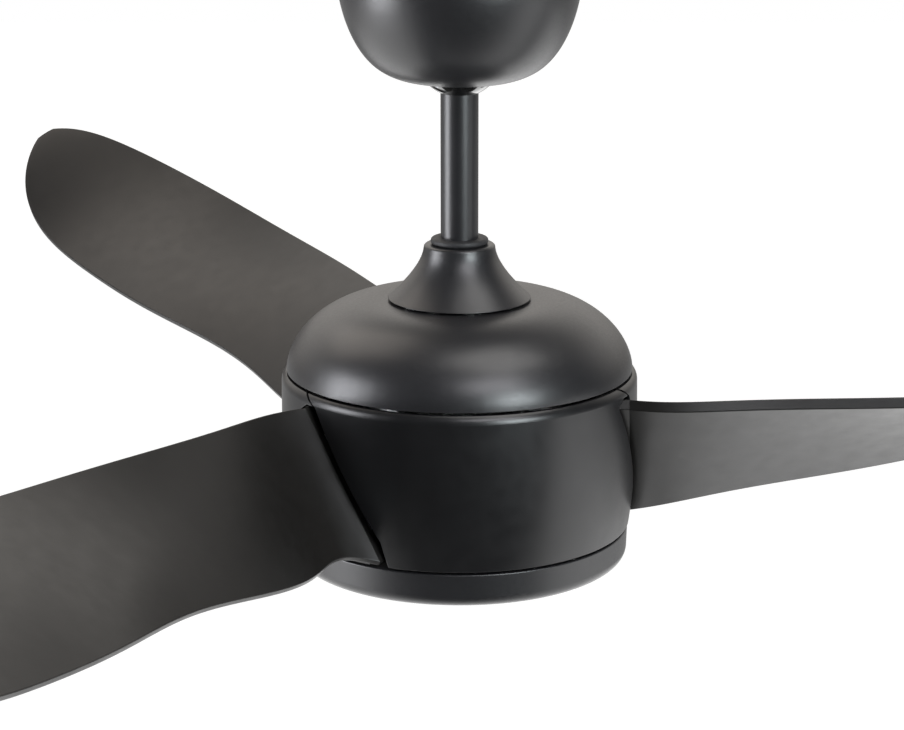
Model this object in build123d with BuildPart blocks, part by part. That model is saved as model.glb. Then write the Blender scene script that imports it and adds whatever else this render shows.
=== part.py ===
from build123d import *

import os
from math import acos, cos, pi, radians, sin

# Ceiling fan with a light, hung from a ball joint. Millimetres.
# The origin is on the fan's axis in the plane of the ceiling, +Z up, so the whole fan hangs below z = 0.
# Three bodies: what is screwed to the ceiling, what hangs from the ball, and what spins.

# ---- ceiling body ---------------------------------------------------------------------------------
canopy_radius = 80.5
canopy_height = 66
canopy_wall = 1.2
canopy_hole_radius = 27

bracket_thickness = 2.5
bracket_width = 44
bracket_hole_spacing = 89
bracket_hole_radius = 2.75
bracket_arm_width = 30
bracket_arm_spacing = 74
cradle_thickness = 3
cradle_depth = 60
ear_inset = 2.5
ear_depth = 13
ear_width = 16
ear_screw_drop = 8
terminal_size = (12, 28, 22)
terminal_drop = 33

# ---- hanging body: ball, rod and coupling ---------------------------------------------------------
ball_radius = 30
ball_drop = 46.3
ball_pin_radius = 3
rod_radius = 12.7
rod_wall = 2
rod_above_ball = 22
seam_drop = 261
coupling_radius = 17
coupling_flange_radius = 31
coupling_flange_thickness = 4.2
coupling_height = 32
rod_engagement = 17
coupling_pin_radius = 3

cover_base_radius = 48.5
cover_top_radius = 24.2
cover_height = 36.9
cover_wall = 1.4
cover_gap = 1.6
collar_radius = 19.5
collar_height = 4.4

# ---- hanging body: upper housing ------------------------------------------------------------------
housing_radius = 118
housing_rise = 46.7
housing_crown_radius = 58
housing_wall = 2
housing_hole_radius = 32
housing_screw_circle = 38
adapter_radius = 54
adapter_thickness = 3

# ---- motor ----------------------------------------------------------------------------------------
shaft_radius = 9
shaft_bore = 5.5
stator_radius = 67
stator_height = 34
stator_teeth = 12
tooth_width = 9
tooth_tip = 4
slot_root_radius = 30
coil_thickness = 6
air_gap = 1
shell_wall = 4
shell_radius = 76
shell_top = -14
shell_bottom = -82
shell_lip_radius = 88
shell_lip_thickness = 3
bearing_outer_radius = 17.5
bearing_width = 8
bearing_race = 2.6
bearing_balls = 8

# ---- spinning body: flange, brackets, blades and side panels --------------------------------------
blade_count = 3
first_blade = -6
flange_radius = 98
flange_flat = 92
flange_top = -46
flange_height = 16
bracket_plate = 4
blade_bracket_width = 52
blade_bracket_height = 62
blade_plate_chord = 70

root_radius = 118
root_across = -40
root_height = -9
root_chord = 113
root_pitch = 57
blade_lead_thickness = 7.5
blade_trail_thickness = 3.8
blade_edge_round = 0.8
blade_camber = 0.035

panel_radius = 121.4
panel_rim_radius = 118.6
panel_rim_drop = 5.6
panel_bottom_radius = 117.2
panel_depth = 108
panel_wall = 2.5
seam_gap = 1.8
slot_over = 7
slot_under = 2.5
slot_ahead = 1.5
split_gap = 1.5
bridge_drop = 8.2
boss_radius = 5
boss_seat_radius = 107
boss_spread = 12
boss_top = -25
boss_foot = -85
arm_thickness = 3
arm_half_angle = 17
arm_web = 8

# ---- hanging body: light --------------------------------------------------------------------------
ring_radius = 116.4
ring_draft = 0.8
ring_gap = 2.2
ring_height = 23.4
ring_wall = 2.7
ring_round = 8
lens_seat_radius = 109.5
ring_flange_width = 15
ring_lip = 4.5
ring_lip_thickness = 1.5
plate_thickness = 2
board_radius = 92
board_thickness = 1.6
chip_size = 3.5
chip_height = 0.8
diffuser_flange = 2
diffuser_wall = 2
diffuser_drop = 12
driver_size = (90, 34, 16)
driver_offset = 37
nut_width = 27
nut_height = 6

# ---- fasteners and clearances ---------------------------------------------------------------------
screw_radius = 2
screw_head_radius = 3.8
screw_head_height = 2.2
blade_screw_radius = 2.5
blade_screw_head_radius = 4.5
blade_screw_head_height = 3
thread_clearance = 0.05
bore_clearance = 0.05
bearing_clearance = 0.05
socket_clearance = 0.3
lens_clearance = 0.4

seam = -seam_drop
ball_z = -ball_drop

# The blade's shape past its root: distance from the axis, then where the upper surface's leading edge is
# (across, height above the seam), the chord and the pitch there.
blade_stations = (
    (190, -45, -6, 111, 48.5),
    (286, -43, -2, 114, 39),
    (381, -37, 3.5, 123, 29),
    (476, -20, 15, 134, 25),
    (560, 13, 36, 126, 29),
    (613, 50, 56, 103, 31),
    (648, 84, 67, 54, 29),
    (660, 103, 67, 17, 28),
)

os.makedirs("parts", exist_ok=True)


def save(name, builder):
    """Label a finished piece and write it to its own file."""
    builder.part.label = name
    export_step(builder.part, f"parts/{name}.step")


def spun(builder, turn):
    """A copy of a spinning piece, turned about the fan's axis."""
    with BuildPart() as copy:
        with Locations(Rotation(0, 0, turn)):
            add(builder.part)
    return copy


def tube(outer, inner, low, high):
    """A straight tube about the fan's axis, from one height to another."""
    with BuildPart() as piece:
        with BuildSketch(Plane.XY.offset(low)):
            Circle(outer)
            if inner:
                Circle(inner, mode=Mode.SUBTRACT)
        extrude(amount=high - low)
    return piece


def cap_screw(radius, length, head_radius, head_height):
    """A pan-head screw: the head's underside is at z = 0 and the shank points down."""
    with BuildPart() as screw:
        Cylinder(radius, length, align=(Align.CENTER, Align.CENTER, Align.MAX))
        Cylinder(head_radius, head_height, align=(Align.CENTER, Align.CENTER, Align.MIN))
        fillet(screw.edges().group_by(Axis.Z)[-1], head_height / 3)
        with BuildSketch(Plane.XY.offset(head_height)):
            Rectangle(head_radius * 1.3, head_radius / 4)
            Rectangle(head_radius / 4, head_radius * 1.3)
        extrude(amount=-head_height / 2, mode=Mode.SUBTRACT)
    return screw.part


def screws_at(locations, radius, length, head_radius=screw_head_radius, head_height=screw_head_height):
    """Several identical screws, one solid each."""
    screw = cap_screw(radius, length, head_radius, head_height)
    with BuildPart() as group:
        for location in locations:
            with Locations(location):
                add(screw)
    return group


def bowl_points(centre, outer, depth, side_power, floor_power, inner, count=9):
    """Points of a rounded bowl's wall: upright at (outer, 0), and level where it nears the inner radius."""
    last = acos(((inner - centre) / (outer - centre)) ** (side_power / 2)) if inner > centre else pi / 2
    points = []
    for step in range(count):
        angle = last * step / (count - 1)
        run = max(cos(angle), 0) ** (2 / side_power)
        points.append((centre + (outer - centre) * run, depth * sin(angle) ** (2 / floor_power)))
    return points


def turned(points, curved=0):
    """A solid turned about the fan's axis. The first `curved` points are joined by one smooth curve."""
    with BuildPart() as piece:
        with BuildSketch(Plane.XZ):
            with BuildLine():
                if curved:
                    Spline(*points[:curved])
                    Polyline(*points[curved - 1 :], points[0])
                else:
                    Polyline(*points, points[0])
            make_face()
        revolve(axis=Axis.Z)
    return piece


def polar(radius, angle):
    """A point in plan, by its distance and direction from the fan's axis."""
    return radius * cos(radians(angle)), radius * sin(radians(angle))


def radial(radius, angle, height, inward=False):
    """A place on a cylinder about the fan's axis, whose Z points outward, or inward to the axis."""
    out = Vector(*polar(1, angle), 0)
    origin = out * radius + Vector(0, 0, height)
    return Location(Plane(origin=origin, x_dir=(0, 0, 1), z_dir=-out if inward else out))


# ================================ ceiling body ======================================================


def canopy_bowl(radius, depth, hole):
    """The canopy's bowl as a solid, open side up, down to the level round its hole."""
    wall = bowl_points(0, radius, -depth, 4.05, 1.5, hole)
    return turned([*wall, (0, wall[-1][1]), (0, 0)], len(wall))


with BuildPart() as canopy:
    add(canopy_bowl(canopy_radius, canopy_height, canopy_hole_radius).part)
    inside = canopy_bowl(canopy_radius - canopy_wall, canopy_height - canopy_wall, canopy_hole_radius)
    add(inside.part, mode=Mode.SUBTRACT)
    Cylinder(canopy_hole_radius, 3 * canopy_height, mode=Mode.SUBTRACT)
    with Locations(*(radial(canopy_radius, side, -ear_screw_drop) for side in (0, 180))):
        Cylinder(screw_radius + thread_clearance, 8 * canopy_wall, mode=Mode.SUBTRACT)
save("canopy", canopy)

ear_face = canopy_radius - canopy_wall - ear_inset
canopy_screw_places = [radial(canopy_radius, side, -ear_screw_drop) for side in (0, 180)]
save("canopy_screws", screws_at(canopy_screw_places, screw_radius, canopy_radius - ear_face + 4))

with BuildPart() as hanger_bracket:
    with BuildSketch(Plane.XY):
        Rectangle(2 * ear_face, bracket_width)
        fillet(vertices(), 8)
    extrude(amount=-bracket_thickness)
    with Locations((0, 0, -cradle_depth / 2)):
        with GridLocations(bracket_arm_spacing, 0, 2, 1):
            Box(bracket_thickness, bracket_arm_width, cradle_depth)
        with GridLocations(2 * ear_face - bracket_thickness, 0, 2, 1):
            with Locations((0, 0, (cradle_depth - ear_depth) / 2)):
                Box(bracket_thickness, ear_width, ear_depth)
    with BuildSketch(Plane.XY.offset(-cradle_depth)):
        Rectangle(bracket_arm_spacing + bracket_thickness, bracket_width - 4)
        fillet(vertices(), 8)
    extrude(amount=cradle_thickness)
    with Locations((0, 0, ball_z)):
        Sphere(ball_radius + socket_clearance, mode=Mode.SUBTRACT)
    for side in (0, 180):
        with Locations(radial(ball_radius - 4, side, ball_z)):
            height = bracket_arm_spacing / 2 - ball_radius + 4
            Cylinder(ball_pin_radius, height, align=(Align.CENTER, Align.CENTER, Align.MIN))
    with Locations(*(radial(ear_face, side, -ear_screw_drop) for side in (0, 180))):
        Cylinder(screw_radius + thread_clearance, 4 * bracket_thickness, mode=Mode.SUBTRACT)
    with GridLocations(bracket_hole_spacing, 0, 2, 1):
        Hole(bracket_hole_radius)
    Cylinder(rod_radius, 3 * bracket_thickness, mode=Mode.SUBTRACT)
save("hanger_bracket", hanger_bracket)

with BuildPart() as terminal_block:
    face = bracket_arm_spacing / 2 + bracket_thickness / 2
    with Locations((face + terminal_size[0] / 2, 0, -terminal_drop)):
        Box(*terminal_size)
        with Locations((terminal_size[0] / 2, 0, 0)):
            with GridLocations(0, 8, 1, 3):
                Box(terminal_size[0], 5, terminal_size[2] / 2, mode=Mode.SUBTRACT)
save("terminal_block", terminal_block)

# ================================ hanging body: ball, rod, coupling =================================

adapter_top = seam + housing_rise - housing_wall
coupling_top = adapter_top + coupling_height
rod_bottom = coupling_top - rod_engagement

with BuildPart() as hanger_ball:
    with Locations((0, 0, ball_z)):
        Sphere(ball_radius)
        with Locations((0, 0, rod_above_ball)):
            Box(3 * ball_radius, 3 * ball_radius, ball_radius, align=(Align.CENTER, Align.CENTER, Align.MIN),
                mode=Mode.SUBTRACT)
        Cylinder(rod_radius + bore_clearance, 3 * ball_radius, mode=Mode.SUBTRACT)
        Cylinder(ball_pin_radius + bore_clearance, 3 * ball_radius, rotation=(90, 0, 0), mode=Mode.SUBTRACT)
    for side in (0, 180):
        with Locations(radial(ball_radius - 4 - socket_clearance, side, ball_z)):
            Cylinder(ball_pin_radius + bore_clearance, 9, align=(Align.CENTER, Align.CENTER, Align.MIN),
                     mode=Mode.SUBTRACT)
    with Locations(*(radial(ball_radius, 45 + 90 * k, ball_z - ball_radius / 2) for k in range(4))):
        Box(ball_radius, 3, 18, mode=Mode.SUBTRACT)
save("hanger_ball", hanger_ball)

with BuildPart() as ball_pin:
    with Locations((0, 0, ball_z)):
        Cylinder(ball_pin_radius, 2 * (ball_radius - 2), rotation=(90, 0, 0))
save("ball_pin", ball_pin)

with BuildPart() as downrod:
    add(tube(rod_radius, rod_radius - rod_wall, rod_bottom, ball_z + rod_above_ball).part)
    with Locations((0, 0, ball_z)):
        Cylinder(ball_pin_radius + bore_clearance, 4 * rod_radius, rotation=(90, 0, 0), mode=Mode.SUBTRACT)
    with Locations((0, 0, rod_bottom + rod_engagement / 2)):
        Cylinder(coupling_pin_radius + bore_clearance, 4 * rod_radius, rotation=(0, 90, 0),
                 mode=Mode.SUBTRACT)
save("downrod", downrod)

shaft_top = rod_bottom - 1.2
with BuildPart() as rod_coupling:
    add(tube(coupling_radius, 0, adapter_top, coupling_top).part)
    add(tube(coupling_flange_radius, 0, adapter_top, adapter_top + coupling_flange_thickness).part)
    inner_corner = rod_coupling.edges().filter_by(GeomType.CIRCLE).filter_by(
        lambda e: abs(e.radius - coupling_radius) < 0.01).sort_by(Axis.Z)[0]
    fillet(inner_corner, 2)
    add(tube(rod_radius + bore_clearance, 0, rod_bottom, coupling_top + 1).part, mode=Mode.SUBTRACT)
    add(tube(shaft_radius + bore_clearance, 0, adapter_top - 1, coupling_top).part, mode=Mode.SUBTRACT)
    with Locations((0, 0, rod_bottom + rod_engagement / 2)):
        Cylinder(coupling_pin_radius + bore_clearance, 4 * coupling_radius, rotation=(0, 90, 0),
                 mode=Mode.SUBTRACT)
        Cylinder(screw_radius + thread_clearance, 4 * coupling_radius, rotation=(90, 0, 0), mode=Mode.SUBTRACT)
    with Locations((0, 0, adapter_top)):
        with PolarLocations((coupling_radius + coupling_flange_radius) / 2, 3):
            Cylinder(screw_radius + thread_clearance, 3 * coupling_flange_thickness, mode=Mode.SUBTRACT)
save("rod_coupling", rod_coupling)

with BuildPart() as coupling_pin:
    with Locations((0, 0, rod_bottom + rod_engagement / 2)):
        with Locations(Rotation(0, 90, 0)):
            Cylinder(coupling_pin_radius, 2 * coupling_radius + 8)
            with Locations((0, 0, -coupling_radius - 4)):
                Cylinder(coupling_pin_radius + 1.5, 2, align=(Align.CENTER, Align.CENTER, Align.MAX))
            with Locations((0, 0, coupling_radius + 2)):
                Cylinder(0.8 + bore_clearance, 12, rotation=(0, 90, 0), mode=Mode.SUBTRACT)
save("coupling_pin", coupling_pin)

with BuildPart() as cotter_pin:
    with Locations((coupling_radius + 2, 0, rod_bottom + rod_engagement / 2)):
        Cylinder(0.8, 12)
        with Locations(Pos(0, 0, 6 + 1.8) * Rotation(0, 90, 0)):
            Torus(2, 0.8)
save("cotter_pin", cotter_pin)

set_screw_length = coupling_radius - rod_radius + 3
with BuildPart() as set_screws:
    for side in (90, 270):
        with Locations(radial(rod_radius + thread_clearance, side, rod_bottom + rod_engagement / 2)):
            Cylinder(screw_radius, set_screw_length, align=(Align.CENTER, Align.CENTER, Align.MIN))
            with BuildSketch(Plane(radial(rod_radius + set_screw_length, side, rod_bottom + rod_engagement / 2))):
                RegularPolygon(screw_radius / 2, 6)
            extrude(amount=-2, mode=Mode.SUBTRACT)
save("set_screws", set_screws)

cover_base = seam + housing_rise + cover_gap
cover_top = cover_base + cover_height


def cover_body(base_radius, top_radius, low, high, top_round):
    """The flared cover over the coupling: a concave flank under a rounded shoulder."""
    fall = high - low - top_round
    flank = []
    for step in range(7):
        rise = step / 6
        flare = (1 - rise) ** 1.6
        flank.append((top_radius + (base_radius - top_radius) * flare, low + fall * rise))
    shoulder = (top_radius - top_round, high)
    with BuildPart() as piece:
        with BuildSketch(Plane.XZ):
            with BuildLine():
                side = Spline(*flank)
                RadiusArc(side @ 1, shoulder, -top_round * 1.02)
                Polyline(shoulder, (0, high), (0, low), side @ 0)
            make_face()
        revolve(axis=Axis.Z)
    return piece.part


with BuildPart() as coupling_cover:
    add(cover_body(cover_base_radius, cover_top_radius, cover_base, cover_top, 2.2))
    inside = cover_body(cover_base_radius - cover_wall, cover_top_radius - cover_wall, cover_base - 0.01,
                        cover_top - cover_wall, 1.2)
    add(inside, mode=Mode.SUBTRACT)
    Cylinder(rod_radius + socket_clearance, 1000, mode=Mode.SUBTRACT)
save("coupling_cover", coupling_cover)

with BuildPart() as rod_collar:
    add(tube(collar_radius, rod_radius + bore_clearance, cover_top, cover_top + collar_height).part)
    outer_edges = rod_collar.edges().filter_by(GeomType.CIRCLE).filter_by(lambda e: e.radius > rod_radius + 1)
    fillet(outer_edges, collar_height * 0.45)
save("rod_collar", rod_collar)

# ================================ hanging body: upper housing =======================================


def housing_dome(radius, crown, rise):
    """The upper housing's dome as a solid with a level crown."""
    wall = bowl_points(crown, radius, rise, 1.95, 1.8, crown)
    shifted = [(run, seam + lift) for run, lift in wall]
    return turned([*shifted, (0, seam + rise), (0, seam)], len(shifted))


housing_screw_places = [Location((housing_screw_circle * cos(radians(a)), housing_screw_circle * sin(radians(a)),
                                  seam + housing_rise)) for a in (90, 210, 330)]

with BuildPart() as upper_housing:
    add(housing_dome(housing_radius, housing_crown_radius, housing_rise).part)
    add(housing_dome(housing_radius - housing_wall, housing_crown_radius - housing_wall,
                     housing_rise - housing_wall).part, mode=Mode.SUBTRACT)
    Cylinder(housing_hole_radius, 2000, mode=Mode.SUBTRACT)
    with Locations(*housing_screw_places):
        Cylinder(screw_radius + thread_clearance, 3 * housing_wall, mode=Mode.SUBTRACT)
save("upper_housing", upper_housing)

with BuildPart() as housing_adapter:
    add(tube(adapter_radius, shaft_radius + bore_clearance, adapter_top - adapter_thickness, adapter_top).part)
    with Locations((0, 0, adapter_top)):
        with PolarLocations((coupling_radius + coupling_flange_radius) / 2, 3):
            Cylinder(screw_radius + thread_clearance, 3 * adapter_thickness, mode=Mode.SUBTRACT)
    with Locations(*housing_screw_places):
        Cylinder(screw_radius + thread_clearance, 6 * adapter_thickness, mode=Mode.SUBTRACT)
save("housing_adapter", housing_adapter)

save("housing_screws", screws_at(housing_screw_places, screw_radius, housing_wall + adapter_thickness))
coupling_screw_places = [Location((place.X, place.Y, adapter_top + coupling_flange_thickness)) for place in
                         (Vector((coupling_radius + coupling_flange_radius) / 2, 0, 0).rotate(Axis.Z, a)
                          for a in (0, 120, 240))]
save("coupling_screws", screws_at(coupling_screw_places, screw_radius,
                                  coupling_flange_thickness + adapter_thickness, 3.4, 2))

# ================================ motor =============================================================

shell_low = seam + shell_bottom
shell_high = seam + shell_top
stator_middle = (shell_low + shell_high) / 2
ring_top = seam - panel_depth - ring_gap
plate_top = ring_top - plate_thickness
nut_top = plate_top - plate_thickness
shaft_bottom = nut_top - nut_height - 2
bearing_middles = (shell_low + 2 + bearing_width / 2, shell_high - 2 - bearing_width / 2)
bearing_pitch = (shaft_radius + bearing_outer_radius) / 2
ball_size = 2.4

save("motor_shaft", tube(shaft_radius, shaft_bore, shaft_bottom, shaft_top))

with BuildPart() as stator_core:
    with BuildSketch(Plane.XY.offset(stator_middle - stator_height / 2)):
        Circle(stator_radius)
        with BuildSketch(mode=Mode.PRIVATE) as slots:
            Circle(stator_radius - tooth_tip)
            Circle(slot_root_radius, mode=Mode.SUBTRACT)
            with PolarLocations(stator_radius / 2, stator_teeth):
                Rectangle(stator_radius, tooth_width, mode=Mode.SUBTRACT)
        add(slots.sketch, mode=Mode.SUBTRACT)
        with PolarLocations(stator_radius, stator_teeth, start_angle=180 / stator_teeth):
            Rectangle(4 * tooth_tip, tooth_width / 3, mode=Mode.SUBTRACT)
        Circle(shaft_radius + bore_clearance, mode=Mode.SUBTRACT)
    extrude(amount=stator_height)
save("stator_core", stator_core)

coil_inner = slot_root_radius + coil_thickness
coil_outer = stator_radius - tooth_tip - 1.5
coil_depth = 0.62 * coil_thickness
with BuildPart() as stator_windings:
    with BuildSketch(Plane.XY.offset(stator_middle - stator_height / 2 - coil_depth)):
        with PolarLocations((coil_inner + coil_outer) / 2, stator_teeth):
            Rectangle(coil_outer - coil_inner, tooth_width + 2 * coil_depth)
    extrude(amount=stator_height + 2 * coil_depth)
    with BuildSketch(Plane.XY.offset(stator_middle - stator_height / 2)):
        with PolarLocations(stator_radius / 2, stator_teeth):
            Rectangle(stator_radius, tooth_width)
    extrude(amount=stator_height, mode=Mode.SUBTRACT)
save("stator_windings", stator_windings)


def races(inner, outer):
    """One race of each bearing, with the groove that the balls run in."""
    with BuildPart() as pair:
        for middle in bearing_middles:
            add(tube(outer, inner, middle - bearing_width / 2, middle + bearing_width / 2).part)
            with Locations((0, 0, middle)):
                Torus(bearing_pitch, ball_size + 2 * bearing_clearance, mode=Mode.SUBTRACT)
    return pair


save("bearing_inner_races", races(shaft_radius + bearing_clearance, shaft_radius + bearing_race))
save("bearing_outer_races", races(bearing_outer_radius - bearing_race, bearing_outer_radius))

with BuildPart() as bearing_ball_set:
    for middle in bearing_middles:
        with Locations((0, 0, middle)):
            with PolarLocations(bearing_pitch, bearing_balls):
                Sphere(ball_size)
save("bearing_balls", bearing_ball_set)

seat_radius = bearing_outer_radius + bearing_clearance
flange_high = seam + flange_top
shell_inner = shell_radius - shell_wall
flange_screw_circle = (shell_radius + shell_lip_radius) / 2

with BuildPart() as rotor_shell:
    add(tube(shell_radius, seat_radius, shell_low, shell_high - shell_wall).part)
    add(tube(shell_lip_radius, shell_inner, flange_high, flange_high + shell_lip_thickness).part)
    add(tube(shell_inner, seat_radius, shell_low + shell_wall, shell_high).part, mode=Mode.SUBTRACT)
    add(tube(seat_radius + shell_wall, seat_radius, shell_low, bearing_middles[0] + bearing_width / 2).part)
    with Locations((0, 0, flange_high)):
        with PolarLocations(flange_screw_circle, 6, start_angle=30):
            Cylinder(screw_radius + thread_clearance, 20, mode=Mode.SUBTRACT)
save("rotor_shell", rotor_shell)

with BuildPart() as rotor_cover:
    add(tube(shell_radius, seat_radius, shell_high - shell_wall, shell_high).part)
    add(tube(seat_radius + shell_wall, seat_radius, bearing_middles[1] - bearing_width / 2, shell_high).part)
    fillet(rotor_cover.edges().filter_by(GeomType.CIRCLE).sort_by(SortBy.RADIUS)[-1:], 1)
    with Locations((0, 0, shell_high)):
        with PolarLocations(shell_radius - shell_wall / 2, 6):
            Cylinder(1.2 + thread_clearance, 40, mode=Mode.SUBTRACT)
save("rotor_cover", rotor_cover)

with BuildPart() as rotor_magnets:
    add(tube(shell_inner, stator_radius + air_gap, stator_middle - stator_height / 2,
             stator_middle + stator_height / 2).part)
save("rotor_magnets", rotor_magnets)

# ================================ spinning body: flange and blade brackets ==========================

blade_turns = [first_blade + 360 / blade_count * k for k in range(blade_count)]
arm_turn = 180 / blade_count
tab_radius = 94
tab_places = [(tab_radius, turn) for turn in (arm_turn - 4, arm_turn + 4)]

with BuildPart() as flange_blank:
    with BuildSketch(Plane.XY.offset(flange_high - flange_height)):
        Circle(flange_radius)
        with Locations(Rotation(0, 0, 180)):
            RegularPolygon(2 * flange_flat, 3, mode=Mode.INTERSECT)
        Circle(shell_radius + bore_clearance, mode=Mode.SUBTRACT)
    extrude(amount=flange_height)
    with Locations((0, 0, flange_high)):
        with PolarLocations(flange_screw_circle, 6, start_angle=30 - first_blade):
            Cylinder(screw_radius + thread_clearance, 20, mode=Mode.SUBTRACT)
        for radius, turn in tab_places:
            with PolarLocations(radius, blade_count, start_angle=turn):
                Cylinder(screw_radius + thread_clearance, 20, mode=Mode.SUBTRACT)
    bracket_screw_places = [
        Location(Plane(origin=(flange_flat + bracket_plate, across, flange_high - flange_height / 2),
                       x_dir=(0, 1, 0), z_dir=(1, 0, 0)))
        for across in (-27, 5)
    ]
    for turn in range(blade_count):
        with Locations(Rotation(0, 0, 360 / blade_count * turn)):
            with Locations(*bracket_screw_places):
                Cylinder(screw_radius + thread_clearance, 30, mode=Mode.SUBTRACT)
save("blade_flange", spun(flange_blank, first_blade))

save("flange_screws", screws_at([Location((flange_screw_circle * cos(radians(a)),
                                           flange_screw_circle * sin(radians(a)),
                                           flange_high + shell_lip_thickness)) for a in range(30, 360, 60)],
                                screw_radius, shell_lip_thickness + 6))

# The blade's root lies in a plane that holds the radial line and the root's pitched chord.
# Its origin is the leading end of the upper surface, X runs to the trailing edge, and Y is up out of it.
root_plane = Plane(origin=(root_radius, root_across, seam + root_height),
                   x_dir=(0, cos(radians(root_pitch)), -sin(radians(root_pitch))), z_dir=(1, 0, 0))
tongue_end = flange_flat + bracket_plate + 0.3
tongue_length = root_radius - tongue_end
screw_row_radius = tongue_end + 9
plate_end = screw_row_radius + 7


def root_point(along, above, radius=root_radius):
    """A point given along the root's chord, above its upper surface, and at a distance from the axis."""
    point = root_plane.from_local_coords((along, above, 0))
    return Vector(radius, point.Y, point.Z)


blade_screw_places = [
    Location(Plane(origin=root_point(root_chord / 2 + offset, bracket_plate, screw_row_radius),
                   x_dir=(1, 0, 0), z_dir=root_plane.y_dir))
    for offset in (-25, 0, 25)
]

with BuildPart() as blade_bracket:
    with BuildSketch(Plane.YZ.offset(flange_flat)):
        with Locations((root_point(root_chord / 2, 0).Y, root_point(root_chord / 2, 0).Z)):
            Rectangle(blade_bracket_width, blade_bracket_height)
            fillet(vertices(), 6)
    extrude(amount=bracket_plate)
    with BuildSketch(Plane(origin=root_point(0, 0, flange_flat + 1), x_dir=root_plane.x_dir, z_dir=(1, 0, 0))):
        with Locations((root_chord / 2, bracket_plate / 2)):
            Rectangle(blade_plate_chord, bracket_plate)
    extrude(amount=plate_end - flange_flat - 1)
    with Locations(*bracket_screw_places):
        Cylinder(screw_radius + thread_clearance, 30, mode=Mode.SUBTRACT)
    with Locations(*blade_screw_places):
        Cylinder(blade_screw_radius + thread_clearance, 30, mode=Mode.SUBTRACT)

bracket_screws = screws_at(bracket_screw_places, screw_radius, bracket_plate + 10)
blade_screws = screws_at(blade_screw_places, blade_screw_radius, bracket_plate + blade_trail_thickness,
                         blade_screw_head_radius, blade_screw_head_height)

# ================================ spinning body: blades =============================================


def blade_section(radius, across, height, chord, pitch, camber):
    """The blade's cross-section at one distance from the axis. Its leading and trailing faces lean halfway
    between square to the chord and upright."""
    turn = radians(pitch)
    plane = Plane(origin=(radius, across, seam + height), x_dir=(0, cos(turn), -sin(turn)), z_dir=(1, 0, 0))
    down = Vector(sin(turn / 2), -cos(turn / 2))
    lead = down * blade_lead_thickness
    trail = Vector(chord, 0) + down * blade_trail_thickness
    with BuildSketch(plane) as section:
        with BuildLine():
            if camber:
                rise = camber * chord
                ThreePointArc((0, 0), (chord / 2, rise), (chord, 0))
                ThreePointArc((lead.X, lead.Y), ((lead.X + trail.X) / 2, rise + (lead.Y + trail.Y) / 2),
                              (trail.X, trail.Y))
            else:
                Line((0, 0), (chord, 0))
                Line((lead.X, lead.Y), (trail.X, trail.Y))
            Line((0, 0), (lead.X, lead.Y))
            Line((chord, 0), (trail.X, trail.Y))
        make_face()
        fillet(section.vertices(), blade_edge_round)
    return section.sketch


root_section = blade_section(root_radius, root_across, root_height, root_chord, root_pitch, 0)
sections = [root_section]
for k, station in enumerate(blade_stations):
    sections.append(blade_section(*station, blade_camber * min(1, (k + 1) / 3)))

with BuildPart() as blade:
    loft(sections)
    extrude(root_section.face(), amount=tongue_length, dir=(-1, 0, 0))
    with Locations(*blade_screw_places):
        Cylinder(blade_screw_radius + thread_clearance, 40, mode=Mode.SUBTRACT)

# ================================ spinning body: side panels ========================================

barrel_outer = [(panel_rim_radius, seam - seam_gap), (panel_radius, seam - seam_gap - panel_rim_drop)]
barrel_waist = (panel_radius, seam - panel_depth / 2)
barrel_foot = (panel_bottom_radius, seam - panel_depth)


def barrel(inset):
    """The barrel that the three side panels are cut from, or the space inside it."""
    with BuildPart() as piece:
        with BuildSketch(Plane.XZ):
            with BuildLine():
                rim, shoulder = ((radius - inset, height) for radius, height in barrel_outer)
                waist = (barrel_waist[0] - inset, barrel_waist[1])
                foot = (barrel_foot[0] - inset, barrel_foot[1])
                TangentArc(shoulder, rim, tangent=(-0.02, 1))
                Spline(shoulder, waist, foot, tangents=[(0.02, -1), (-0.14, -1)])
                Polyline(foot, (0, foot[1]), (0, rim[1]), rim)
            make_face()
        revolve(axis=Axis.Z)
    return piece


def slot_face(corners):
    """A face across the blade slot, from points along and above the blade root's upper surface."""
    plane = Plane(origin=root_point(0, 0, 60), x_dir=root_plane.x_dir, z_dir=(1, 0, 0))
    with BuildSketch(plane) as face:
        with BuildLine():
            Polyline(*corners, corners[0])
        make_face()
    return face.sketch


far = 400
slot_start = [(-26, -7), (-11, 0), (4, slot_over), (root_chord - 11, slot_over), (root_chord + 6, 1), (far, 1)]
before_slot = [*slot_start, (far, -far), (-far, -far), (-far, -7)]
slot_end = -blade_lead_thickness - slot_under
boss_places = [radial(boss_seat_radius, arm_turn + side * boss_spread, seam + height)
               for side in (-1, 1) for height in (boss_top, boss_foot)]

with BuildPart() as start_cutter:
    extrude(slot_face(before_slot), amount=far)

with BuildPart() as under_bridge:
    extrude(slot_face([(-slot_ahead, -far), (far, -far), (far, far), (-slot_ahead, far)]), amount=far)
    split(bisect_by=Plane.XY.offset(seam - bridge_drop), keep=Keep.BOTTOM)

with BuildPart() as bridge:
    extrude(slot_face([(along, above - split_gap) for along, above in before_slot]), amount=far)
    add(under_bridge.part, mode=Mode.SUBTRACT)

with BuildPart() as end_cutter:
    extrude(slot_face([(-far, slot_end), (far, slot_end), (far, far), (-far, far)]), amount=far)
    add(bridge.part, mode=Mode.SUBTRACT)

with BuildPart() as panel_space:
    add(barrel(panel_wall).part)
    with Locations(*boss_places):
        Cylinder(boss_radius, 40, align=(Align.CENTER, Align.CENTER, Align.MIN), mode=Mode.SUBTRACT)

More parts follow.
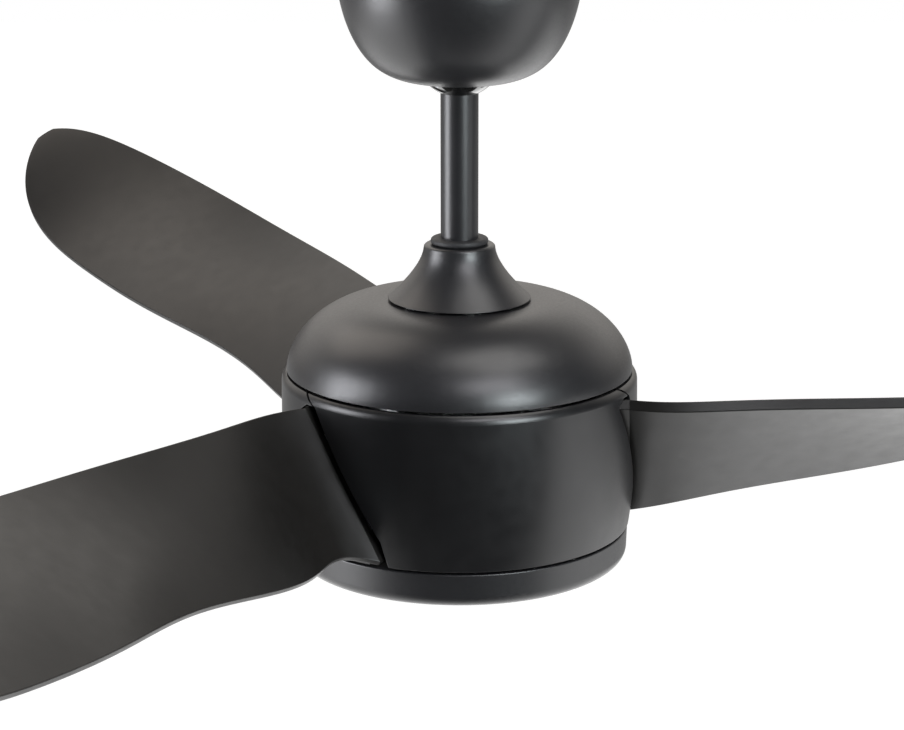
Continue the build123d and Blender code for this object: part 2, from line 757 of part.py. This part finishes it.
with BuildPart() as side_panel:
    add(barrel(0).part)
    add(panel_space.part, mode=Mode.SUBTRACT)
    add(start_cutter.part, mode=Mode.SUBTRACT)
    with Locations(Rotation(0, 0, 360 / blade_count)):
        add(end_cutter.part, mode=Mode.SUBTRACT)
    with BuildSketch(Plane.XY.offset(seam - far)):
        with BuildLine():
            Polyline((0, 0), polar(far, 360 / blade_count + 55), (-far, -far), polar(far, -55), (0, 0))
        make_face()
    extrude(amount=2 * far, mode=Mode.SUBTRACT)
    with Locations(*boss_places):
        Cylinder(screw_radius + thread_clearance, 9, align=(Align.CENTER, Align.CENTER, Align.MIN),
                 mode=Mode.SUBTRACT)

with BuildPart() as arm:
    low, high = seam + boss_foot - boss_radius - 2, seam + boss_top + boss_radius + 2
    with BuildSketch(Plane.XY.offset(low)):
        Circle(boss_seat_radius)
        Circle(boss_seat_radius - arm_thickness, mode=Mode.SUBTRACT)
        with BuildLine():
            Polyline((0, 0), polar(far, arm_turn - arm_half_angle), polar(far, arm_turn + arm_half_angle), (0, 0))
        make_face(mode=Mode.INTERSECT)
    extrude(amount=high - low)
    with BuildSketch(Plane.XY.offset(flange_high)):
        with Locations(Rotation(0, 0, arm_turn)):
            with Locations(((shell_lip_radius + boss_seat_radius - 1) / 2, 0)):
                Rectangle(boss_seat_radius - shell_lip_radius - 3, 3 * arm_web)
    extrude(amount=arm_thickness)
    with Locations(*boss_places):
        Cylinder(screw_radius + thread_clearance, 12, mode=Mode.SUBTRACT)
    for radius, turn in tab_places:
        with PolarLocations(radius, 1, start_angle=turn):
            with Locations((0, 0, flange_high)):
                Cylinder(screw_radius + thread_clearance, 20, mode=Mode.SUBTRACT)

arm_screws = screws_at([Location((radius * cos(radians(turn)), radius * sin(radians(turn)),
                                  flange_high + arm_thickness)) for radius, turn in tab_places],
                       screw_radius, arm_thickness + 7, 3, 2)
panel_screws = screws_at([radial(boss_seat_radius - arm_thickness - 0.1, arm_turn + side * boss_spread, seam + height,
                                 inward=True) for side in (-1, 1) for height in (boss_top, boss_foot)],
                         screw_radius, arm_thickness + 7)

for k, turn in enumerate(blade_turns, start=1):
    save(f"blade_{k}", spun(blade, turn))
    save(f"blade_bracket_{k}", spun(blade_bracket, turn))
    save(f"side_panel_{k}", spun(side_panel, turn))


def set_of(builder):
    """One copy of a spinning piece for each blade, as separate solids of one node."""
    with BuildPart() as group:
        for turn in blade_turns:
            with Locations(Rotation(0, 0, turn)):
                add(builder.part)
    return group


for name, builder in (("panel_arms", arm), ("bracket_screws", bracket_screws), ("blade_screws", blade_screws),
                      ("arm_screws", arm_screws), ("panel_screws", panel_screws)):
    save(name, set_of(builder))

# ================================ hanging body: light ===============================================

ring_bottom = ring_top - ring_height
ring_inner = ring_radius - ring_wall
lip_top = ring_bottom + ring_lip_thickness
lip_radius = lens_seat_radius - ring_lip
seat_top = ring_bottom + ring_round + ring_wall
ring_screw_circle = ring_radius - ring_flange_width / 2 - ring_wall

with BuildPart() as light_ring:
    add(turned([(ring_radius - ring_flange_width, ring_top), (ring_radius, ring_top),
                (ring_radius - ring_draft, ring_bottom), (lip_radius, ring_bottom), (lip_radius, lip_top),
                (lens_seat_radius, lip_top), (lens_seat_radius, seat_top), (ring_inner - ring_draft, seat_top),
                (ring_inner, plate_top), (ring_radius - ring_flange_width, plate_top)]).part)
    foot_edge, rim_edge = (light_ring.edges().filter_by(GeomType.CIRCLE).filter_by(
        lambda e: abs(e.radius - radius) < 0.01)[0] for radius in (ring_radius - ring_draft, ring_radius))
    fillet(foot_edge, ring_round)
    fillet(rim_edge, 0.8)
    with Locations((0, 0, ring_top)):
        with PolarLocations(ring_screw_circle, 4, start_angle=45):
            Cylinder(screw_radius + thread_clearance, 3 * plate_thickness, mode=Mode.SUBTRACT)
save("light_ring", light_ring)

with BuildPart() as light_plate:
    add(tube(ring_inner - lens_clearance, shaft_radius + bore_clearance, plate_top - plate_thickness,
             plate_top).part)
    with Locations((0, 0, plate_top)):
        with PolarLocations(ring_screw_circle, 4, start_angle=45):
            Cylinder(screw_radius + thread_clearance, 3 * plate_thickness, mode=Mode.SUBTRACT)
        with PolarLocations(board_radius - 10, 3, start_angle=90):
            Cylinder(screw_radius + thread_clearance, 3 * plate_thickness, mode=Mode.SUBTRACT)
save("light_plate", light_plate)
save("ring_screws", screws_at([Location((ring_screw_circle * cos(radians(a)), ring_screw_circle * sin(radians(a)),
                                         ring_top)) for a in (45, 135, 225, 315)],
                              screw_radius, 2 * plate_thickness + 1))

board_top = plate_top - plate_thickness
with BuildPart() as led_board:
    add(tube(board_radius, nut_width * 0.7, board_top - board_thickness, board_top).part)
    with Locations((0, 0, board_top)):
        with PolarLocations(board_radius - 10, 3, start_angle=90):
            Cylinder(screw_radius + thread_clearance, 3 * board_thickness, mode=Mode.SUBTRACT)
save("led_board", led_board)

board_screw_places = [Location(Plane(origin=((board_radius - 10) * cos(radians(a)),
                                             (board_radius - 10) * sin(radians(a)), board_top - board_thickness),
                                     z_dir=(0, 0, -1))) for a in (90, 210, 330)]
save("board_screws", screws_at(board_screw_places, screw_radius, board_thickness + plate_thickness))

with BuildPart() as led_chips:
    with BuildSketch(Plane.XY.offset(board_top - board_thickness)):
        with PolarLocations(board_radius - 17, 24, start_angle=7.5):
            Rectangle(chip_size, chip_size)
        with PolarLocations(board_radius / 2, 12):
            Rectangle(chip_size, chip_size)
    extrude(amount=-chip_height)
save("led_chips", led_chips)


def cap_rise(run, span, drop):
    """Height above the lowest point of a shallow spherical cap, at a distance from its axis."""
    sphere = (span**2 + drop**2) / (2 * drop)
    return sphere - (sphere**2 - run**2) ** 0.5


with BuildPart() as diffuser:
    with BuildSketch(Plane.XZ):
        with BuildLine():
            outer = lip_radius - lens_clearance
            inner = outer - diffuser_wall
            lowest = ring_bottom - diffuser_drop
            drop = lip_top - lowest - 1
            outer_cap = [(run, lowest + cap_rise(run, outer, drop)) for run in (0, outer / 2, outer)]
            inner_cap = [(run, lowest + diffuser_wall + cap_rise(run, inner, drop))
                         for run in (inner, inner / 2, 0)]
            ThreePointArc(*outer_cap)
            Polyline(outer_cap[2], (outer, lip_top), (lens_seat_radius - lens_clearance, lip_top),
                     (lens_seat_radius - lens_clearance, lip_top + diffuser_flange), (inner, lip_top + diffuser_flange),
                     inner_cap[0])
            ThreePointArc(*inner_cap)
            Line(inner_cap[2], outer_cap[0])
        make_face()
    revolve(axis=Axis.Z)
save("diffuser", diffuser)

with BuildPart() as shaft_nut:
    with BuildSketch(Plane.XY.offset(nut_top)):
        RegularPolygon(nut_width / 2, 6, major_radius=False)
        Circle(shaft_radius + thread_clearance, mode=Mode.SUBTRACT)
    extrude(amount=-nut_height)
save("shaft_nut", shaft_nut)

with BuildPart() as shaft_spacers:
    for low, high in ((plate_top, bearing_middles[0] - bearing_width / 2),
                      (bearing_middles[1] + bearing_width / 2, adapter_top - adapter_thickness)):
        add(tube(shaft_radius + 3, shaft_radius + bore_clearance, low, high).part)
save("shaft_spacers", shaft_spacers)

for name, side in (("led_driver", 1), ("receiver_box", -1)):
    with BuildPart() as box:
        with Locations((0, side * driver_offset, plate_top)):
            Box(*driver_size, align=(Align.CENTER, Align.CENTER, Align.MIN))
            fillet(box.edges().filter_by(Axis.Z), 3)
            with GridLocations(driver_size[0] - 6, 0, 2, 1):
                Cylinder(5, driver_size[2] / 2, align=(Align.CENTER, Align.CENTER, Align.MIN), mode=Mode.SUBTRACT)
    save(name, box)
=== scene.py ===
from math import cos, pi, radians, sin

import bpy
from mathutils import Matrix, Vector

# A ceiling fan in a white studio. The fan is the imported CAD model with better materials: every length below
# is in metres, in the CAD frame (origin in the plane of the ceiling, on the fan's axis, +Z up).

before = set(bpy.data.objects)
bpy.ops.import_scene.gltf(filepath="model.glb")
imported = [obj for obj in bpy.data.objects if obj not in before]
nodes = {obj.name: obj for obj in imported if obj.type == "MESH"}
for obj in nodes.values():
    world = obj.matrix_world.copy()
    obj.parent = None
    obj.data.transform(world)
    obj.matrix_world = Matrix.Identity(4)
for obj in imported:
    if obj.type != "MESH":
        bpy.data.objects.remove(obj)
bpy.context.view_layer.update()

# ---- finishes: colours are linear RGB, grain sizes in metres ---------------------------------------------
SATIN_BLACK = (0.0085, 0.0085, 0.0095)
PANEL_BLACK = (0.005, 0.005, 0.0055)
BLADE_BLACK = (0.0065, 0.006, 0.0055)
GLOSS_BLACK = (0.004, 0.004, 0.004)
RUBBER_BLACK = (0.011, 0.011, 0.012)
ZINC = (0.56, 0.56, 0.54)
CAST_ALUMINIUM = (0.66, 0.67, 0.68)
LAMINATION = (0.20, 0.20, 0.215)
COPPER = (0.72, 0.30, 0.13)
FERRITE = (0.045, 0.045, 0.05)
OPAL = (0.86, 0.86, 0.83)
SOLDER_MASK = (0.80, 0.81, 0.79)
PHOSPHOR = (0.86, 0.62, 0.12)
CASE_GREY = (0.58, 0.58, 0.59)
TERMINAL_IVORY = (0.70, 0.66, 0.55)


def mapped(tree, source, before, after, shape="LINEAR"):
    """A number mapped from one range to another, in any node tree."""
    made = tree.nodes.new("ShaderNodeMapRange")
    made.interpolation_type = shape
    for socket, value in zip(("From Min", "From Max", "To Min", "To Max"), (*before, *after)):
        made.inputs[socket].default_value = value
    tree.links.new(source, made.inputs["Value"])
    return made.outputs["Result"]


def eased(tree, source, before, after):
    """The same, with a smooth start and end."""
    return mapped(tree, source, before, after, "SMOOTHSTEP")


def combined(tree, operation, *values):
    """One Math node of linked values or plain numbers."""
    made = tree.nodes.new("ShaderNodeMath")
    made.operation = operation
    for socket, value in zip(made.inputs, values):
        if isinstance(value, (int, float)):
            socket.default_value = value
        else:
            tree.links.new(value, socket)
    return made.outputs["Value"]


class Finish:
    """A procedural material: one Principled shader whose colour, roughness and normal come from small
    patterns in the piece's own coordinates."""

    def __init__(self, name, **sockets):
        self.material = bpy.data.materials.new(name)
        self.material.use_nodes = True
        self.tree = self.material.node_tree
        self.shader = self.tree.nodes["Principled BSDF"]
        for socket, value in sockets.items():
            label = socket.replace("_", " ").title().replace("Ior", "IOR")
            self.shader.inputs[label].default_value = value
        self.place = self.node("ShaderNodeTexCoord").outputs["Object"]
        self.normal = None

    def node(self, kind, **settings):
        made = self.tree.nodes.new(kind)
        for key, value in settings.items():
            setattr(made, key, value)
        return made

    def link(self, source, target):
        self.tree.links.new(source, target)

    def stretched(self, scale):
        """The piece's coordinates, scaled along each axis."""
        mapping = self.node("ShaderNodeMapping")
        mapping.inputs["Scale"].default_value = scale
        self.link(self.place, mapping.inputs["Vector"])
        return mapping.outputs["Vector"]

    def noise(self, grain, detail=3.0, stretch=None):
        """Cloudy noise whose features are about `grain` metres across."""
        made = self.node("ShaderNodeTexNoise")
        made.inputs["Scale"].default_value = 1 / grain
        made.inputs["Detail"].default_value = detail
        self.link(self.stretched(stretch) if stretch else self.place, made.inputs["Vector"])
        return made.outputs["Fac"]

    def cells(self, grain, feature="F1"):
        """Round cells about `grain` metres across."""
        made = self.node("ShaderNodeTexVoronoi", feature=feature)
        made.inputs["Scale"].default_value = 1 / grain
        self.link(self.place, made.inputs["Vector"])
        return made.outputs["Distance"]

    def bands(self, pitch, direction="Z"):
        """Even bands, `pitch` metres apart."""
        made = self.node("ShaderNodeTexWave", wave_type="BANDS", bands_direction=direction)
        made.inputs["Scale"].default_value = pi / 10 / pitch
        made.inputs["Distortion"].default_value = 0.0
        self.link(self.place, made.inputs["Vector"])
        return made.outputs["Fac"]

    def ranged(self, source, low, high, start=0.3, stop=0.7):
        """The pattern, spread from one number to another."""
        return mapped(self.tree, source, (start, stop), (low, high))

    def tones(self, source, dark, light, start=0.3, stop=0.7):
        """Base colour between two tones, by a pattern."""
        ramp = self.node("ShaderNodeValToRGB")
        ramp.color_ramp.elements[0].position = start
        ramp.color_ramp.elements[0].color = (*dark, 1)
        ramp.color_ramp.elements[1].position = stop
        ramp.color_ramp.elements[1].color = (*light, 1)
        self.link(source, ramp.inputs["Fac"])
        self.link(ramp.outputs["Color"], self.shader.inputs["Base Color"])

    def roughness(self, source, low, high):
        self.link(self.ranged(source, low, high), self.shader.inputs["Roughness"])

    def bump(self, source, height, strength=1.0):
        """Relief of `height` metres. Further calls add to it."""
        made = self.node("ShaderNodeBump")
        made.inputs["Distance"].default_value = height
        made.inputs["Strength"].default_value = strength
        self.link(source, made.inputs["Height"])
        if self.normal is not None:
            self.link(self.normal, made.inputs["Normal"])
        self.normal = made.outputs["Normal"]
        self.link(self.normal, self.shader.inputs["Normal"])

    def soft_edges(self, radius):
        """Corners catch the light as if they were rounded by this much. Called before any bump."""
        made = self.node("ShaderNodeBevel", samples=6)
        made.inputs["Radius"].default_value = radius
        self.normal = made.outputs["Normal"]
        self.link(self.normal, self.shader.inputs["Normal"])


def shade(colour, factor):
    return tuple(channel * factor for channel in colour)


def powder_coat(name, colour, rough, peel=0.0009):
    """Satin powder coat: a faint orange peel, fine speckle in the gloss and broad drifts of tone."""
    finish = Finish(name, specular_ior_level=0.5)
    finish.soft_edges(radius=0.0005)
    finish.tones(finish.noise(grain=0.035, detail=4), shade(colour, 0.88), shade(colour, 1.12))
    finish.roughness(finish.noise(grain=0.0016, detail=5), rough - 0.035, rough + 0.035)
    finish.bump(finish.noise(peel, 2), height=0.000012)
    return finish.material


def moulded_black(name, colour, rough, gloss, grain=0.0006):
    """Moulded plastic with a fine spark-eroded grain and slight flow marks along the blade."""
    finish = Finish(name, specular_ior_level=gloss)
    finish.soft_edges(radius=0.0004)
    finish.tones(finish.noise(grain=0.05, detail=4), shade(colour, 0.9), shade(colour, 1.12))
    finish.roughness(finish.noise(grain=0.012, detail=6), rough - 0.03, rough + 0.03)
    finish.bump(finish.cells(grain), height=0.000010)
    finish.bump(finish.noise(grain=0.02, detail=2), height=0.00002)
    return finish.material


def gloss_ball(name):
    finish = Finish(name, specular_ior_level=0.5, coat_weight=0.6, coat_roughness=0.06)
    finish.tones(finish.noise(grain=0.004, detail=4), shade(GLOSS_BLACK, 0.8), shade(GLOSS_BLACK, 1.3))
    finish.roughness(finish.noise(grain=0.006, detail=5), 0.05, 0.11)
    finish.bump(finish.noise(grain=0.008, detail=2), height=0.00001)
    return finish.material


def rubber(name):
    finish = Finish(name, specular_ior_level=0.4)
    finish.tones(finish.noise(grain=0.004, detail=5), shade(RUBBER_BLACK, 0.8), shade(RUBBER_BLACK, 1.25))
    finish.roughness(finish.noise(grain=0.002, detail=4), 0.52, 0.66)
    finish.bump(finish.noise(grain=0.0007, detail=3), height=0.00002)
    return finish.material


def metal(name, colour, rough, grain=0.0012, stretch=None, relief=0.00001, variation=0.06):
    """Bare metal, brushed where `stretch` draws the noise out along an axis."""
    finish = Finish(name, metallic=1.0)
    finish.soft_edges(radius=0.0003)
    finish.tones(finish.noise(grain=0.012, detail=5), shade(colour, 0.85), shade(colour, 1.08))
    finish.roughness(finish.noise(grain, 4, stretch), rough - variation, rough + variation)
    finish.bump(finish.noise(grain, 3, stretch), relief)
    return finish.material


def zinc_plate(name):
    """Zinc on pressed steel, with the faint crystals of the plating."""
    finish = Finish(name, metallic=1.0)
    finish.soft_edges(radius=0.0003)
    finish.tones(finish.cells(grain=0.004), shade(ZINC, 0.82), shade(ZINC, 1.06), 0.1, 0.8)
    finish.roughness(finish.noise(grain=0.003, detail=5), 0.26, 0.42)
    finish.bump(finish.noise(grain=0.0008, detail=3), height=0.000008)
    return finish.material


def lamination_stack(name):
    """Half-millimetre sheets, stacked along the axis."""
    finish = Finish(name, metallic=1.0)
    finish.tones(finish.bands(pitch=0.0005), shade(LAMINATION, 0.5), LAMINATION)
    finish.roughness(finish.noise(grain=0.002, detail=4), 0.38, 0.55)
    finish.bump(finish.bands(pitch=0.0005), height=0.00008)
    return finish.material


def enamelled_wire(name):
    """Copper wire of 0.7 mm, wound side by side."""
    finish = Finish(name, metallic=1.0, coat_weight=0.5, coat_roughness=0.15)
    finish.tones(finish.noise(grain=0.006, detail=4), shade(COPPER, 0.75), shade(COPPER, 1.1))
    finish.roughness(finish.noise(grain=0.002, detail=4), 0.22, 0.36)
    finish.bump(finish.bands(pitch=0.0007), height=0.0002)
    return finish.material


def opal_plastic(name):
    """Opal acrylic: light goes a little way in."""
    finish = Finish(name, subsurface_weight=0.35, subsurface_scale=0.004, specular_ior_level=0.5)
    finish.tones(finish.noise(grain=0.02, detail=4), shade(OPAL, 0.97), shade(OPAL, 1.02))
    finish.roughness(finish.noise(grain=0.0015, detail=4), 0.30, 0.38)
    finish.bump(finish.noise(grain=0.0006, detail=2), height=0.000006)
    return finish.material


def plastic(name, colour, rough=0.45, grain=0.0009):
    finish = Finish(name, specular_ior_level=0.45)
    finish.soft_edges(radius=0.0003)
    finish.tones(finish.noise(grain=0.01, detail=4), shade(colour, 0.94), shade(colour, 1.04))
    finish.roughness(finish.noise(grain=0.002, detail=4), rough - 0.05, rough + 0.05)
    finish.bump(finish.noise(grain, 3), height=0.00002)
    return finish.material


def circuit_board(name):
    """White solder mask, a little raised over the copper beneath it."""
    finish = Finish(name, specular_ior_level=0.5)
    tracks = finish.cells(0.012, "DISTANCE_TO_EDGE")
    finish.tones(tracks, shade(SOLDER_MASK, 0.93), SOLDER_MASK, 0.05, 0.12)
    finish.roughness(finish.noise(grain=0.002, detail=4), 0.28, 0.4)
    finish.bump(finish.ranged(tracks, 0, 1, 0.06, 0.1), height=0.00003)
    return finish.material


def phosphor(name):
    finish = Finish(name, specular_ior_level=0.5, subsurface_weight=0.2, subsurface_scale=0.001)
    finish.tones(finish.noise(grain=0.0004, detail=3), shade(PHOSPHOR, 0.9), shade(PHOSPHOR, 1.05))
    finish.roughness(finish.noise(grain=0.0008, detail=3), 0.35, 0.5)
    finish.bump(finish.noise(grain=0.0003, detail=2), height=0.00001)
    return finish.material


def dress(material, *names):
    """Give CAD nodes a finish."""
    for name in names:
        slots = nodes[name].data.materials
        slots.clear()
        slots.append(material)


def numbered(name):
    return [f"{name}_{k}" for k in (1, 2, 3)]


# The canopy, rod, cone, dome and ring are painted alike. The blades and the panels are moulded.
dress(powder_coat("satin_black_paint", SATIN_BLACK, 0.36), "canopy", "downrod", "coupling_cover",
      "upper_housing", "light_ring")
dress(moulded_black("panel_black", PANEL_BLACK, 0.31, 0.42), *numbered("side_panel"))
dress(moulded_black("blade_black", BLADE_BLACK, 0.38, 0.34), *numbered("blade"))
dress(gloss_ball("ball_black"), "hanger_ball")
dress(rubber("collar_rubber"), "rod_collar")
dress(zinc_plate("zinc_plate"), "hanger_bracket", "canopy_screws", "housing_adapter", "housing_screws",
      "coupling_screws", "flange_screws", "bracket_screws", "blade_screws", "arm_screws", "panel_screws",
      "ring_screws", "board_screws", "panel_arms", "shaft_nut")
dress(metal("turned_steel", ZINC, 0.24, 0.004, (1, 1, 18)), "ball_pin", "rod_coupling", "coupling_pin",
      "cotter_pin", "set_screws", "motor_shaft", "shaft_spacers", "bearing_inner_races",
      "bearing_outer_races", "bearing_balls")
dress(metal("cast_aluminium", CAST_ALUMINIUM, 0.42, 0.0014, None, 0.00004), "rotor_shell", "rotor_cover",
      "blade_flange", *numbered("blade_bracket"))
dress(metal("rolled_aluminium", CAST_ALUMINIUM, 0.3, 0.003, (14, 1, 1)), "light_plate")
dress(lamination_stack("laminations"), "stator_core")
dress(enamelled_wire("enamelled_copper"), "stator_windings")
dress(metal("ferrite", FERRITE, 0.55, 0.0009, None, 0.00003), "rotor_magnets")
dress(opal_plastic("opal_acrylic"), "diffuser")
dress(circuit_board("white_solder_mask"), "led_board")
dress(phosphor("led_phosphor"), "led_chips")
dress(plastic("driver_case", CASE_GREY), "led_driver", "receiver_box")
dress(plastic("terminal_nylon", TERMINAL_IVORY, 0.5), "terminal_block")

# ---- studio ---------------------------------------------------------------------------------------------
HUB = Vector((0, 0, -0.30))

# The floor is dark paint under its own glow: the camera sees it evenly pale, and the fan sees it bright below
# and behind, dim in front, and fading again far off.
FLOOR_Z = -5.2
FLOOR_HALF = 40.0
PALE = (0.93, 0.93, 0.925)
FLOOR_PAINT = (0.30, 0.31)
FLOOR_SEEN = 0.95
FLOOR_RISE = (-3.5, 1.7)
FLOOR_BOUNCE = (0.012, 2.3)
FLOOR_FADE = (6.0, 16.0)
FLOOR_FAR = 0.4
SIDE_SHARE = 0.5

# The backdrop that the fan reflects, by the direction it lies in: the ranges are the direction's Y or Z.
BACKDROP_TINT = (1.0, 0.955, 0.90)
BACKDROP_TURN = (0.05, 0.75)
BACKDROP_RISE = (-0.15, 0.42)
BACKDROP_FADE = (0.42, 0.85)
BACKDROP_FOOT = 0.35
BACKDROP_FULL = 1.4
BACKDROP_TOP = 0.06
ROOM_LIGHT = 0.04

# name, azimuth and elevation in degrees, distance, width, height, power in watts, colour
SOFTBOXES = (
    ("left_softbox", -79, 6, 2.4, 1.2, 1.9, 82, (0.94, 0.95, 1.0)),
    ("right_softbox", 36, 12, 2.4, 0.95, 1.0, 56, (0.89, 0.97, 1.0)),
    ("front_softbox", 26, 40, 2.6, 1.5, 0.9, 34, (0.96, 0.95, 1.0)),
    ("back_softbox", -128, 52, 2.6, 1.6, 1.6, 19, (1.0, 0.92, 0.84)),
    ("top_softbox", 62, 72, 2.4, 1.5, 1.5, 32, (1.0, 0.98, 0.96)),
)


def make_floor():
    """A pale floor. What the fan reflects of it is brighter behind and beside the fan than in front."""
    mesh = bpy.data.meshes.new("floor")
    corners = [(-FLOOR_HALF, -FLOOR_HALF), (FLOOR_HALF, -FLOOR_HALF), (FLOOR_HALF, FLOOR_HALF),
               (-FLOOR_HALF, FLOOR_HALF)]
    mesh.from_pydata([(x, y, FLOOR_Z) for x, y in corners], [], [(0, 1, 2, 3)])
    floor = bpy.data.objects.new("floor", mesh)
    bpy.context.scene.collection.objects.link(floor)
    finish = Finish("pale_floor", specular_ior_level=0.1)
    finish.tones(finish.noise(grain=1.5, detail=3), *(shade(PALE, paint) for paint in FLOOR_PAINT))
    finish.roughness(finish.noise(grain=0.3, detail=3), 0.75, 0.85)
    finish.shader.inputs["Emission Color"].default_value = (1, 1, 1, 1)
    axes = finish.node("ShaderNodeSeparateXYZ")
    finish.link(finish.place, axes.inputs["Vector"])
    beside = combined(finish.tree, "ABSOLUTE", axes.outputs["X"])
    around = combined(finish.tree, "ADD", axes.outputs["Y"],
                      combined(finish.tree, "MULTIPLY", beside, SIDE_SHARE))
    near = eased(finish.tree, around, FLOOR_RISE, FLOOR_BOUNCE)
    far = eased(finish.tree, around, FLOOR_FADE, (FLOOR_BOUNCE[1], FLOOR_FAR))
    bounce = combined(finish.tree, "MINIMUM", near, far)
    camera_ray = finish.node("ShaderNodeLightPath").outputs["Is Camera Ray"]
    seen = combined(finish.tree, "MULTIPLY", camera_ray, FLOOR_SEEN)
    glow = combined(finish.tree, "MAXIMUM", bounce, seen)
    finish.link(glow, finish.shader.inputs["Emission Strength"])
    mesh.materials.append(finish.material)


def make_world():
    """White where the camera looks at it. What the fan reflects is a warm white backdrop that fades with
    height, and a dim room in front."""
    world = bpy.data.worlds.new("studio")
    world.use_nodes = True
    tree = world.node_tree
    tree.nodes.clear()
    output = tree.nodes.new("ShaderNodeOutputWorld")
    path = tree.nodes.new("ShaderNodeLightPath")
    mix = tree.nodes.new("ShaderNodeMixShader")
    seen = tree.nodes.new("ShaderNodeBackground")
    seen.inputs["Color"].default_value = (1, 1, 1, 1)
    lit = tree.nodes.new("ShaderNodeBackground")
    lit.inputs["Color"].default_value = (*BACKDROP_TINT, 1)
    direction = tree.nodes.new("ShaderNodeTexCoord")
    axes = tree.nodes.new("ShaderNodeSeparateXYZ")
    tree.links.new(direction.outputs["Generated"], axes.inputs["Vector"])
    behind = eased(tree, axes.outputs["Y"], BACKDROP_TURN, (0, 1))
    lower = eased(tree, axes.outputs["Z"], BACKDROP_RISE, (BACKDROP_FOOT, BACKDROP_FULL))
    upper = eased(tree, axes.outputs["Z"], BACKDROP_FADE, (BACKDROP_FULL, BACKDROP_TOP))
    strength = combined(tree, "MULTIPLY", behind, combined(tree, "MINIMUM", lower, upper))
    tree.links.new(combined(tree, "MAXIMUM", strength, ROOM_LIGHT), lit.inputs["Strength"])
    tree.links.new(path.outputs["Is Camera Ray"], mix.inputs["Fac"])
    tree.links.new(lit.outputs["Background"], mix.inputs[1])
    tree.links.new(seen.outputs["Background"], mix.inputs[2])
    tree.links.new(mix.outputs["Shader"], output.inputs["Surface"])
    bpy.context.scene.world = world


def softbox(name, azimuth, elevation, distance, width, height, power, colour):
    """A rectangular soft light that faces the hub. Azimuth 0 is in front, at -Y, and grows towards +X."""
    light = bpy.data.lights.new(name, "AREA")
    light.shape = "RECTANGLE"
    light.size = width
    light.size_y = height
    light.energy = power
    light.color = colour
    lamp = bpy.data.objects.new(name, light)
    a, e = radians(azimuth), radians(elevation)
    lamp.location = HUB + distance * Vector((sin(a) * cos(e), -cos(a) * cos(e), sin(e)))
    lamp.rotation_euler = (HUB - lamp.location).to_track_quat("-Z", "Y").to_euler()
    bpy.context.scene.collection.objects.link(lamp)


# ---- camera -----------------------------------------------------------------------------------------------
CAMERA_PLACE = (0.0, -1.650, 0.1865)
CAMERA_PITCH = -15.17
CAMERA_LENS = 99.56
CAMERA_SHIFT = -0.0083


def make_camera():
    """A long lens, a little above the ceiling's plane, looking slightly down at the hub."""
    data = bpy.data.cameras.new("camera")
    data.sensor_width = 36
    data.lens = CAMERA_LENS
    data.shift_x = CAMERA_SHIFT
    data.clip_end = 200
    camera = bpy.data.objects.new("camera", data)
    camera.location = CAMERA_PLACE
    camera.rotation_euler = (radians(90 + CAMERA_PITCH), 0, 0)
    bpy.context.scene.collection.objects.link(camera)
    bpy.context.scene.camera = camera


make_floor()
make_world()
for settings in SOFTBOXES:
    softbox(*settings)
make_camera()
bpy.context.scene.view_settings.view_transform = "Standard"
